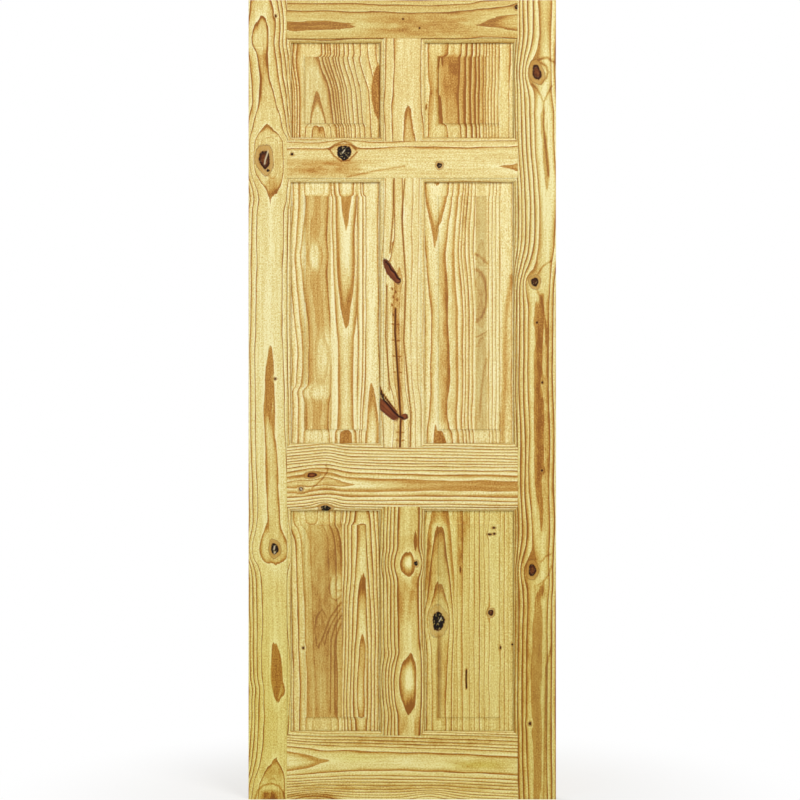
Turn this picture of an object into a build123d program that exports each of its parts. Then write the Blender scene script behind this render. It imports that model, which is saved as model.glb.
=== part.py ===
"""Six-panel door leaf in solid pine, framed with stiles, rails and mullions round raised panels.

The frame is cope-and-stick joinery: every edge that faces a panel carries a quirked ovolo moulding (the
sticking) and a groove, and each member that butts against another is scribed over that moulding with a stub
tenon in the groove. The panels float in the grooves on tongues and are raised and coved on both faces.

X runs across the door from its hinge edge, Y through it with the front at -Y, and Z up from its foot.
Lengths are in millimetres.
"""

import math
import os

from build123d import *

# Leaf
DOOR_WIDTH = 762.0
DOOR_HEIGHT = 1981.0
DOOR_THICKNESS = 35.0
ARRIS_RADIUS = 1.0  # easing of the long outer corners

# Flat faces of the framing members, between their mouldings
STILE_FACE = 95.0
TOP_RAIL_FACE = 95.0
FRIEZE_RAIL_FACE = 91.0
LOCK_RAIL_FACE = 147.0
BOTTOM_RAIL_FACE = 158.0
MULLION_FACE = 91.0

# Daylight heights of the panels; the lower pair takes the height that is left
UPPER_PANEL_SIGHT = 235.0
MIDDLE_PANEL_SIGHT = 648.0

# Sticking: a small step down at the face, then an ovolo that ends in a straight lip above the groove
QUIRK_DEPTH = 1.5
QUIRK_WIDTH = 1.0
OVOLO_RADIUS = 9.0

# Groove that holds the panels, and the stub tenons at the joints
GROOVE_WIDTH = 10.0
GROOVE_DEPTH = 10.0

# Raised panels: a flat field, a square shoulder, a hollow cove, a sloping margin and a tongue
FIELD_THICKNESS = 20.0
FIELD_MARGIN = 35.0  # from the sight line to the edge of the field
SHOULDER_DEPTH = 0.8
COVE_RADIUS = 20.0
MARGIN_RISE = 0.6  # the margin climbs this much from the sight line to the foot of the cove
TONGUE_PLAY = 0.2  # each side of the tongue, so that the panel can move with the seasons
TONGUE_END_ROOM = 2.0  # from the end of the tongue to the bottom of the groove

# Worked out from the sizes above
HALF_DOOR = DOOR_THICKNESS / 2
HALF_GROOVE = GROOVE_WIDTH / 2
HALF_FIELD = FIELD_THICKNESS / 2
HALF_TONGUE = HALF_GROOVE - TONGUE_PLAY
STICKING_WIDTH = QUIRK_WIDTH + OVOLO_RADIUS
TONGUE_LENGTH = GROOVE_DEPTH - TONGUE_END_ROOM
TENON_REACH = max(GROOVE_DEPTH - STICKING_WIDTH, 0.0)  # past the edge of the face that it enters

STILE_SIGHT = STILE_FACE + STICKING_WIDTH
MULLION_SIGHT = MULLION_FACE + 2 * STICKING_WIDTH
PANEL_SIGHT_WIDTH = (DOOR_WIDTH - 2 * STILE_SIGHT - MULLION_SIGHT) / 2

# Heights at which each rail's flat face starts and ends
TOP_RAIL = (DOOR_HEIGHT - TOP_RAIL_FACE, DOOR_HEIGHT)
FRIEZE_TOP = TOP_RAIL[0] - UPPER_PANEL_SIGHT - 2 * STICKING_WIDTH
FRIEZE_RAIL = (FRIEZE_TOP - FRIEZE_RAIL_FACE, FRIEZE_TOP)
LOCK_TOP = FRIEZE_RAIL[0] - MIDDLE_PANEL_SIGHT - 2 * STICKING_WIDTH
LOCK_RAIL = (LOCK_TOP - LOCK_RAIL_FACE, LOCK_TOP)
BOTTOM_RAIL = (0.0, BOTTOM_RAIL_FACE)

# The rows of panels, each between the rail below it and the rail above it
PANEL_ROWS = {
    "lower": ("bottom_rail", "lock_rail", BOTTOM_RAIL[1], LOCK_RAIL[0]),
    "middle": ("lock_rail", "frieze_rail", LOCK_RAIL[1], FRIEZE_RAIL[0]),
    "upper": ("frieze_rail", "top_rail", FRIEZE_RAIL[1], TOP_RAIL[0]),
}

# The member's moulded edges: towards +x of its section, towards -x, or both
HIGH_EDGE, LOW_EDGE = 1, -1
BOTH_EDGES = (LOW_EDGE, HIGH_EDGE)


def sticking_section(face_edge):
    """Section of the moulding on both faces of an edge, from the edge of the flat face to the sight line."""
    shelf_level = HALF_DOOR - QUIRK_DEPTH
    with BuildSketch() as section:
        with BuildLine():
            quirk = Line((face_edge, 0), (face_edge, shelf_level))
            shelf = Line(quirk @ 1, (face_edge + QUIRK_WIDTH, shelf_level))
            ovolo = CenterArc((shelf @ 1) - (0, OVOLO_RADIUS), OVOLO_RADIUS, start_angle=0, arc_size=90)
            lip = Line(ovolo @ 0, (face_edge + STICKING_WIDTH, 0))
            Line(lip @ 1, quirk @ 0)
        make_face()
        mirror(about=Plane.XZ)
    return section.sketch


def member_section(face_width, moulded_edges):
    """Section of a framing member, centred on its flat face: x across the member, y through the door."""
    sticking = sticking_section(face_width / 2)
    groove_middle = face_width / 2 + STICKING_WIDTH - GROOVE_DEPTH / 2
    with BuildSketch() as section:
        Rectangle(face_width, DOOR_THICKNESS)
        if HIGH_EDGE in moulded_edges:
            add(sticking)
        if LOW_EDGE in moulded_edges:
            mirror(sticking, about=Plane.YZ)
        with Locations([(edge * groove_middle, 0) for edge in moulded_edges]):
            Rectangle(GROOVE_DEPTH, GROOVE_WIDTH, mode=Mode.SUBTRACT)
    return section.sketch


def panel_section(sight_width):
    """Section of a raised panel, centred: x across the opening that it fills, y through the door."""
    field_edge = sight_width / 2 - FIELD_MARGIN
    cove_top = HALF_FIELD - SHOULDER_DEPTH
    cove_foot = HALF_TONGUE + MARGIN_RISE
    cove_turn = math.degrees(math.acos(1 - (cove_top - cove_foot) / COVE_RADIUS))
    cove_centre = (field_edge + COVE_RADIUS * math.sin(math.radians(cove_turn)), cove_foot + COVE_RADIUS)
    tongue_end = sight_width / 2 + TONGUE_LENGTH
    with BuildSketch() as section:
        with BuildLine():
            field = Line((0, HALF_FIELD), (field_edge, HALF_FIELD))
            Line(field @ 1, (field_edge, cove_top))
            cove = CenterArc(cove_centre, COVE_RADIUS, start_angle=270 - cove_turn, arc_size=cove_turn)
            margin = Line(cove @ 1, (sight_width / 2, HALF_TONGUE))
            tongue = Line(margin @ 1, (tongue_end, HALF_TONGUE))
            end = Line(tongue @ 1, (tongue_end, 0))
            middle = Line(end @ 1, (0, 0))
            Line(middle @ 1, field @ 0)
        make_face()
        mirror(about=Plane.XZ)
        mirror(about=Plane.YZ)
    return section.sketch


def across_door(x, z):
    """Plane that a rail's section stands on: its x climbs the door and its normal runs along the rail."""
    return Plane(origin=(x, 0, z), x_dir=(0, 0, 1), z_dir=(1, 0, 0))


pieces = {}


# Stiles, full height, moulded on the edge that faces the panels
hinge_stile_section = member_section(STILE_FACE, (HIGH_EDGE,))
with BuildPart() as hinge_stile:
    with BuildSketch(Plane.XY):
        with Locations((STILE_FACE / 2, 0)):
            add(hinge_stile_section)
    extrude(amount=DOOR_HEIGHT)
    fillet(hinge_stile.edges().filter_by(Axis.Z).group_by(Axis.X)[0], ARRIS_RADIUS)
pieces["hinge_stile"] = hinge_stile

lock_stile_section = member_section(STILE_FACE, (LOW_EDGE,))
with BuildPart() as lock_stile:
    with BuildSketch(Plane.XY):
        with Locations((DOOR_WIDTH - STILE_FACE / 2, 0)):
            add(lock_stile_section)
    extrude(amount=DOOR_HEIGHT)
    fillet(lock_stile.edges().filter_by(Axis.Z).group_by(Axis.X)[-1], ARRIS_RADIUS)
pieces["lock_stile"] = lock_stile

# Rails, from groove to groove between the stiles and scribed over the stiles' mouldings
RAILS = {
    "top_rail": (TOP_RAIL, (LOW_EDGE,)),
    "frieze_rail": (FRIEZE_RAIL, BOTH_EDGES),
    "lock_rail": (LOCK_RAIL, BOTH_EDGES),
    "bottom_rail": (BOTTOM_RAIL, (HIGH_EDGE,)),
}
RAIL_START = STILE_FACE - TENON_REACH
for name, ((low, high), moulded_edges) in RAILS.items():
    rail_section = member_section(high - low, moulded_edges)
    with BuildPart() as rail:
        with BuildSketch(across_door(RAIL_START, (low + high) / 2)):
            add(rail_section)
        extrude(amount=DOOR_WIDTH - 2 * RAIL_START)
        add([hinge_stile.part, lock_stile.part], mode=Mode.SUBTRACT)
    pieces[name] = rail

# Mullions, from groove to groove between two rails and scribed over the rails' mouldings
mullion_section = member_section(MULLION_FACE, BOTH_EDGES)
for row, (rail_below, rail_above, low, high) in PANEL_ROWS.items():
    with BuildPart() as mullion:
        with BuildSketch(Plane.XY.offset(low - TENON_REACH)):
            with Locations((DOOR_WIDTH / 2, 0)):
                add(mullion_section)
        extrude(amount=high - low + 2 * TENON_REACH)
        add([pieces[rail_below].part, pieces[rail_above].part], mode=Mode.SUBTRACT)
    pieces[f"{row}_mullion"] = mullion

# Raised panels: the level section and the upright section, each carried right through, meet in mitred corners
PANEL_CENTRES = {
    "left": STILE_SIGHT + PANEL_SIGHT_WIDTH / 2,
    "right": DOOR_WIDTH - STILE_SIGHT - PANEL_SIGHT_WIDTH / 2,
}
PANEL_WIDTH = PANEL_SIGHT_WIDTH + 2 * TONGUE_LENGTH
level_section = panel_section(PANEL_SIGHT_WIDTH)
for row, (_, _, low, high) in PANEL_ROWS.items():
    sight_height = high - low - 2 * STICKING_WIDTH
    upright_section = panel_section(sight_height)
    panel_height = sight_height + 2 * TONGUE_LENGTH
    middle_height = (low + high) / 2
    for side, centre in PANEL_CENTRES.items():
        with BuildPart() as panel:
            with BuildSketch(Plane.XY.offset(middle_height - panel_height / 2)):
                with Locations((centre, 0)):
                    add(level_section)
            extrude(amount=panel_height)
            with BuildSketch(across_door(centre - PANEL_WIDTH / 2, middle_height)):
                add(upright_section)
            extrude(amount=PANEL_WIDTH, mode=Mode.INTERSECT)
        pieces[f"{row}_{side}_panel"] = panel

os.makedirs("parts", exist_ok=True)
for name, piece in pieces.items():
    piece.part.label = name
    export_step(piece.part, f"parts/{name}.step")
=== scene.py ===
"""Six-panel pine door: every board of the leaf, with its grain, knots and glue joints.

Grain is worked out the way a board shows it: a log has a pith line and ring radii, and a point of the board
takes its ring from its distance to the pith. Knots part the rings. Those fields sit on each board's points,
and one pine material reads them. Lengths are in millimetres. Places on the grain are in pixels of the
800 by 800 photograph of the door's front, which shows the face at PHOTO_MM to the pixel.
"""

import bmesh
import bpy
import numpy as np
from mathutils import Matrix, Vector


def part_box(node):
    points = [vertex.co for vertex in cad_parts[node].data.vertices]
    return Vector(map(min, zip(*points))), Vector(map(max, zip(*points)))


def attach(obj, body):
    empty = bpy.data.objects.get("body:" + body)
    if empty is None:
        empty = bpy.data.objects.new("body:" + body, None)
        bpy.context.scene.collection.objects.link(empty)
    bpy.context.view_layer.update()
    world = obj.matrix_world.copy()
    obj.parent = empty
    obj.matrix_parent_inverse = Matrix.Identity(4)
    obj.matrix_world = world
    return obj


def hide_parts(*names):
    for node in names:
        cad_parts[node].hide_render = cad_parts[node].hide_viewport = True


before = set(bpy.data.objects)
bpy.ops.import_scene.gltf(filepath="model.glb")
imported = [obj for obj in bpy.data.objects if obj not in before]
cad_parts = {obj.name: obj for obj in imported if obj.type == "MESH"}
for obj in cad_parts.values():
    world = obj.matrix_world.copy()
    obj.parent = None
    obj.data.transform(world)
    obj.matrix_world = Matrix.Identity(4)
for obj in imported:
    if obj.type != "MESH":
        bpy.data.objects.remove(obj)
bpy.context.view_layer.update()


# Stiles: the two full-height boards at the edges of the leaf, flat-sawn pine, planed smooth.
# The edge that faces the panels is moulded with a quirked ovolo on both faces and grooved between them.
# The outer corners are eased by hand with a plane.

MM = 0.001  # metres in a millimetre, Blender's unit

DOOR_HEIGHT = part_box("hinge_stile")[1].z / MM
FACE_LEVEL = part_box("hinge_stile")[1].y / MM  # from the middle of the thickness out to the face

PHOTO_MM = 2.478
PHOTO_HINGE_EDGE = 248.5

ARRIS_RADIUS = 1.0
JOINT_EASE = 0.35  # arrises at the shoulders are broken by this much, so that a joint shows as a fine V
QUIRK_DEPTH = 1.5
QUIRK_WIDTH = 1.0
OVOLO_RADIUS = 9.0
HALF_GROOVE = 5.0
STICKING = QUIRK_WIDTH + OVOLO_RADIUS
SHELF_LEVEL = FACE_LEVEL - QUIRK_DEPTH

# Spacing of the points that carry the grain, and how far from a knot they lie closer
ACROSS_SPACING = 2.4
ALONG_SPACING = 7.0
KNOT_SPACING = 1.5
ACROSS_REACH = 7.0
ALONG_REACH = 16.0


def through(marks, values, place):
    """Smooth curve through given marks that never overshoots: cubic pieces between the marks, with the
    harmonic mean of the neighbouring slopes at each mark, or no slope where the values turn."""
    step = np.diff(marks)
    rise = np.diff(values) / step
    slope = np.concatenate([rise[:1], np.zeros(len(marks) - 2), rise[-1:]])
    same_way = rise[:-1] * rise[1:] > 0
    total = np.where(same_way, rise[:-1] + rise[1:], 1.0)
    slope[1:-1] = np.where(same_way, 2 * rise[:-1] * rise[1:] / total, 0.0)
    place = np.clip(place, marks[0], marks[-1])
    piece = np.clip(np.searchsorted(marks, place) - 1, 0, len(step) - 1)
    t = (place - marks[piece]) / step[piece]
    start = (1 + 2 * t) * (1 - t) ** 2 * values[piece] + t * (1 - t) ** 2 * step[piece] * slope[piece]
    end = t**2 * (3 - 2 * t) * values[piece + 1] - t**2 * (1 - t) * step[piece] * slope[piece + 1]
    return start + end


def wander(seed, across, along, width, length):
    """Smooth unevenness about zero: a sum of seven seeded sine waves, short across the grain and long
    with it."""
    chance = np.random.default_rng(seed)
    total = np.zeros_like(across)
    for _ in range(7):
        across_turns = chance.choice([-1, 1]) / (width * chance.uniform(0.6, 2.2))
        along_turns = 1 / (length * chance.uniform(0.6, 2.2))
        total += np.sin(2 * np.pi * (across * across_turns + along * along_turns + chance.uniform()))
    return total / np.sqrt(7)


def crowd(low, high, coarse, marks, reach):
    """Places from low to high, coarse apart and closing to KNOT_SPACING near each mark: the count of places
    passed is the running sum of one over the spacing."""
    place = np.linspace(low, high, 3000)
    nearness = np.zeros_like(place)
    for mark in marks:
        nearness = np.maximum(nearness, np.exp(-(((place - mark) / reach) ** 2)))
    density = 1 / coarse + (1 / KNOT_SPACING - 1 / coarse) * nearness
    passed = np.concatenate([[0.0], np.cumsum((density[1:] + density[:-1]) / 2 * np.diff(place))])
    count = max(int(np.ceil(passed[-1])), 1)
    return np.interp(np.linspace(0, passed[-1], count + 1), passed, place)


def photo_place(x, z):
    """Pixel of the photograph that shows a point of the door's front face."""
    return x / PHOTO_MM + PHOTO_HINGE_EDGE, (DOOR_HEIGHT - z) / PHOTO_MM


def ring_fields(radius, rings):
    """Rings passed on the way out from the pith, with straight lines between the ring edges and on past both
    ends; the width of the ring there in widths of its late wood; and how dark that late wood is. Late wood
    lies inside its ring's edge, so width and darkness change over in the first third of the next ring."""
    more_inside, more_outside = 12, 29
    edges, late, dark = np.array(rings, float).T
    inner = edges[0] - (edges[1] - edges[0]) * np.arange(more_inside, 0, -1)
    outer = edges[-1] + (edges[-1] - edges[-2]) * np.arange(1, more_outside + 1)
    edges = np.concatenate([inner, edges, outer])
    late, dark = (np.pad(value, (more_inside, more_outside), mode="edge") for value in (late, dark))
    passed = np.interp(radius, edges, np.arange(len(edges)))
    width = np.interp(radius, (edges[1:] + edges[:-1]) / 2, np.diff(edges))
    change = np.stack([edges[:-1], edges[:-1] + np.diff(edges) / 3], axis=1).ravel()
    late = np.interp(radius, change, np.stack([late[:-1], late[1:]], axis=1).ravel())
    dark = np.interp(radius, change, np.stack([dark[:-1], dark[1:]], axis=1).ravel())
    return passed, width / late, dark


def knot_distance(knot, x, y):
    """Distance from a knot's middle as a share of its own turned, uneven oval: 1 is the edge of its core."""
    (middle_x, middle_y), (half_width, half_height), _, turn = knot
    across = (x - middle_x) * np.cos(turn) - (y - middle_y) * np.sin(turn)
    along = (x - middle_x) * np.sin(turn) + (y - middle_y) * np.cos(turn)
    angle = np.arctan2(along / half_height, across / half_width)
    uneven = 1 + 0.06 * np.sin(3 * angle + middle_x) + 0.04 * np.sin(5 * angle + middle_y)
    return np.hypot(across / half_width, along / half_height) * uneven


def line_gap(line, x, y):
    """Distance from a line of straight pieces, the least of the distances from its pieces."""
    gap = np.full_like(x, np.inf)
    for (start_x, start_y), (end_x, end_y) in zip(line[:-1], line[1:]):
        run_x, run_y = end_x - start_x, end_y - start_y
        share = ((x - start_x) * run_x + (y - start_y) * run_y) / (run_x**2 + run_y**2)
        share = np.clip(share, 0, 1)
        gap = np.minimum(gap, np.hypot(x - start_x - share * run_x, y - start_y - share * run_y))
    return gap


FIELDS = ["rings", "ring_width", "late_dark", "shade", "mottle", "gold", "lens", "streak", "split_and_glint", "stain"]
FIELDS += ["knot", "bark", "dust_and_shade"]

# Depths and distances in the wood, in pixels of the photograph
MARK_DEPTH = 6.5  # marks of the front face are gone at this depth
MARK_FADE = 5.0  # and fade over this much before it
FIELD_FADE = 0.6  # share of a panel field's tone that is lost with each pixel of depth
CLEAR_OF_KNOTS = 4.0  # in sizes of the knot
SIDE_GRIP, END_GRIP, LEAST_GRIP = 1.5, 2.0, 1.5  # reach of a knot on the rings: its sizes, then pixels
FINE_WAVES = (9.0, 60.0)  # across the grain and along it
BROAD_WAVES = (30.0, 130.0)
RING_WAVER = 0.04  # of a ring, in the fine waves
PITH_DRIFT = 0.25  # of the rings from their pith, in the broad waves
NEXT_BOARD = 97  # millimetres from one board's noise to the next


def grain_fields(timber, points):
    """Fields that the pine material reads, at each point of a board. Its ring is counted out from the pith
    that wanders along the board. Mottles, golds and stains are soft ovals, and lenses are pointed ovals of
    late wood. Streaks, curls, splits with painted glints, and cracks fade away from their lines, with cracks
    below zero in the field of splits and glints. The place across, along and into the wood goes with them,
    for the fibres."""
    x, y = photo_place(points[:, 0], points[:, 2])
    depth = (points[:, 1] + timber.get("front", FACE_LEVEL)) / PHOTO_MM
    heart = timber.get("heart", 1)  # 1 for a pith in front of the face, less than 0 for one behind it
    near_front = np.clip((MARK_DEPTH - depth) / MARK_FADE, 0, 1)
    on_field = near_front if heart > 0 else np.clip(1 - FIELD_FADE * depth, 0, 1)
    order = slice(None, None, 1 if timber["upright"] else -1)  # turns (x, y) into (across, along)
    across, along = (x, y)[order]
    values = {field: np.zeros_like(x) for field in FIELDS if field != "dust_and_shade"}

    # Rings part round each knot, and further round the bulges
    bulges = timber.get("bulges", [])
    values["knot"] += CLEAR_OF_KNOTS
    for knot in timber.get("knots", []):
        middle, half, bark, _ = knot
        grip = (SIDE_GRIP, END_GRIP)[order]
        bulges = [(middle, (grip[0] * half[0] + LEAST_GRIP, grip[1] * half[1] + LEAST_GRIP))] + bulges
        from_knot = knot_distance(knot, x, y)
        values["bark"] = np.where(from_knot < values["knot"], bark, values["bark"])
        values["knot"] = np.minimum(values["knot"], from_knot)
    parted = across.copy()
    for middle, reach in bulges:
        (middle_across, middle_along), (reach_across, reach_along) = middle[order], reach[order]
        swell = ((parted - middle_across) / reach_across) ** 2 + ((along - middle_along) / reach_along) ** 2
        parted = middle_across + (parted - middle_across) * (1 - np.exp(-swell))

    uneven = wander(timber["seed"], across, along, *FINE_WAVES)
    drift = wander(timber["seed"] + 50, across, along, *BROAD_WAVES)
    left_edge = -np.inf
    for right_edge, tone, pith, rings in timber["staves"]:
        marks, pith_across, pith_depth = np.array(pith, float).T
        beside = parted - through(marks, pith_across, along)
        below = through(marks, pith_depth, along) + heart * depth
        rings = [ring if isinstance(ring, tuple) else (ring, *timber["late"]) for ring in rings]
        passed, ring_width, late_dark = ring_fields(np.hypot(beside + PITH_DRIFT * drift, below), rings)
        stave = {"rings": passed + RING_WAVER * uneven, "ring_width": ring_width, "late_dark": late_dark}
        stave["shade"] = timber["tone"] + tone * on_field
        here = (x >= left_edge) & (x < right_edge)
        for field, value in stave.items():
            values[field] = np.where(here, value, values[field])
        left_edge = right_edge

    values["gold"] += timber["gold"]
    patches = [("mottles", "mottle", 4, near_front), ("golds", "gold", 2, near_front)]
    patches += [("stains", "stain", 4, on_field)]
    for kind, field, power, shown in patches:
        for (middle_x, middle_y), (half_width, half_height), amount in timber.get(kind, []):
            spread = ((x - middle_x) / half_width) ** power + ((y - middle_y) / half_height) ** power
            values[field] += amount * np.exp(-spread) * shown

    values["lens"] -= 1
    for middle, half in timber.get("lenses", []):
        (middle_across, middle_along), (half_width, half_length) = middle[order], half[order]
        lens = 1 - ((along - middle_along) / half_length) ** 2 - np.abs(across - middle_across) / half_width
        values["lens"] = np.maximum(values["lens"], np.where(near_front > 0.5, lens, -1.0))

    for kind, field in (("streaks", "streak"), ("curls", "streak"), ("splits_and_glints", "split_and_glint"), ("cracks", "split_and_glint")):
        for line, half_width, strength in timber.get(kind, []):
            mark = strength * np.exp(-((line_gap(line, x, y) / half_width) ** 2)) * near_front
            darker = kind == "cracks"
            values[field] = np.minimum(values[field], -mark) if darker else np.maximum(values[field], mark)

    sawn = [across * PHOTO_MM + NEXT_BOARD * timber["seed"], along * PHOTO_MM, depth * PHOTO_MM]
    return values, np.stack(sawn, axis=1)


KNOT_SINK = 0.55  # of a black knot below the planed face
SOUND_SINK = 0.25  # share of that for a sound knot
SINK_EDGE = 1.25  # sizes of the knot at which the face is level again
PLANED_LEVEL = 9.9  # faces and panel fields lie further than this from the middle of the thickness
CRISP_ANGLE = np.radians(30)


def lay_board(name, slot, timber, points, faces, dust_and_shade):
    """Board from its points and faces: knots sink a little below the planed faces, the fields go on as point
    attributes, edges turning by more than CRISP_ANGLE stay crisp, and the board replaces its CAD node."""
    values, sawn = grain_fields(timber, points)
    points = points.copy()
    sink = KNOT_SINK * np.maximum(values["bark"], SOUND_SINK) * np.clip(SINK_EDGE - values["knot"], 0, 1)
    points[:, 1] -= np.sign(points[:, 1]) * sink * (np.abs(points[:, 1]) > PLANED_LEVEL)
    values["dust_and_shade"] = dust_and_shade

    mesh = bpy.data.meshes.new(f"{name}_board")
    mesh.from_pydata(points * MM, [], faces)
    shape = bmesh.new()
    shape.from_mesh(mesh)
    bmesh.ops.recalc_face_normals(shape, faces=shape.faces)
    shape.to_mesh(mesh)
    shape.free()
    mesh.polygons.foreach_set("use_smooth", np.ones(len(mesh.polygons), bool))
    mesh.set_sharp_from_angle(angle=CRISP_ANGLE)
    for field, value in values.items():
        mesh.attributes.new(field, "FLOAT", "POINT").data.foreach_set("value", value.astype(np.float32))
    places = mesh.attributes.new("sawn", "FLOAT_VECTOR", "POINT")
    places.data.foreach_set("vector", sawn.astype(np.float32).ravel())

    board = bpy.data.objects.new(mesh.name, mesh)
    bpy.context.scene.collection.objects.link(board)
    mesh.materials.append(PINE[slot])
    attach(board, "root")
    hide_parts(name)


def linear(hex_colour):
    """sRGB hex colour as linear red, green, blue and alpha."""
    srgb = np.array([int(hex_colour[i : i + 2], 16) for i in (1, 3, 5)]) / 255
    light = np.where(srgb <= 0.04045, srgb / 12.92, ((srgb + 0.055) / 1.055) ** 2.4)
    return (*light.tolist(), 1.0)


def node(tree, kind, inputs, stops=(), **settings):
    """One shader node: its own settings, its sockets filled with values or linked from sockets or from the
    first open output of other nodes, and the colour stops of a ramp, both of its ends first."""
    made = tree.nodes.new(f"ShaderNode{kind}")
    for setting, value in settings.items():
        setattr(made, setting, value)
    for socket, value in inputs.items():
        if isinstance(value, bpy.types.Node):
            value = next(output for output in value.outputs if output.enabled)
        if isinstance(value, bpy.types.NodeSocket):
            tree.links.new(value, made.inputs[socket])
        else:
            made.inputs[socket].default_value = value
    for i, (place, hex_colour) in enumerate(stops):
        ramp = made.color_ramp.elements
        stop = ramp[i] if i < 2 else ramp.new(place)
        stop.position = place
        stop.color = linear(hex_colour)
    return made


# Planed softwood: pale spring wood that darkens slowly through each ring and ends at a sharp brown line.
LATE_REACH = 4.0  # the tones below run this many widths of late wood in from a ring's edge
LATE_TONES = [(0.0, "#707070"), (1.0, "#000000"), (0.015, "#F5F5F5"), (0.12, "#FFFFFF"), (0.24, "#A8A8A8")]
LATE_TONES += [(0.42, "#4A4A4A"), (0.7, "#141414")]
WOOD_COLOURS = [(0.0, "#FCF4C6"), (1.0, "#985F29"), (0.2, "#ECDC98"), (0.42, "#DABB70"), (0.66, "#C8974B")]
WOOD_COLOURS += [(0.84, "#B57E39")]
KNOT_REACH = 2.2  # the colours below run from a knot's middle to this many times the size of its core
KNOT_COLOURS = [(0.0, "#A5602E"), (1.0, "#D0AA62"), (0.25, "#8A461E"), (0.38, "#4A220F"), (0.45, "#25120A")]
KNOT_COLOURS += [(0.51, "#9A602A"), (0.57, "#BC8B44"), (0.77, "#C4944B"), (0.83, "#8E5A24")]

SWAY = 0.2  # of the rings, as a share of a ring
RAGGED = 0.42  # unevenness of a knot's edge, in sizes of the knot
PALE = 0.9  # taken off the sum of browns, so that the noises lighten the wood as well as darken it
DUST_AND_SHADE_SHARE = 0.4  # share of its colour where dust and painted shade lie thickest
RELIEF = 0.00025  # metres from the soft spring wood up to the hard late wood

# Sizes of the pine's unevenness across and along the grain, and how many finer layers each has. Fibres and
# flecks are drawn coarser than real ones, which are a tenth of a millimetre wide, so that they show.
NOISE_SIZES = {"wavy": (7, 75, 2), "fibre": (0.9, 30, 3), "broad": (5, 170, 3), "cloud": (12, 38, 4)}
NOISE_SIZES |= {"fleck": (2.2, 4, 2), "dash": (1.5, 17, 1), "grit": (4.5, 5.5, 2)}


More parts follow.
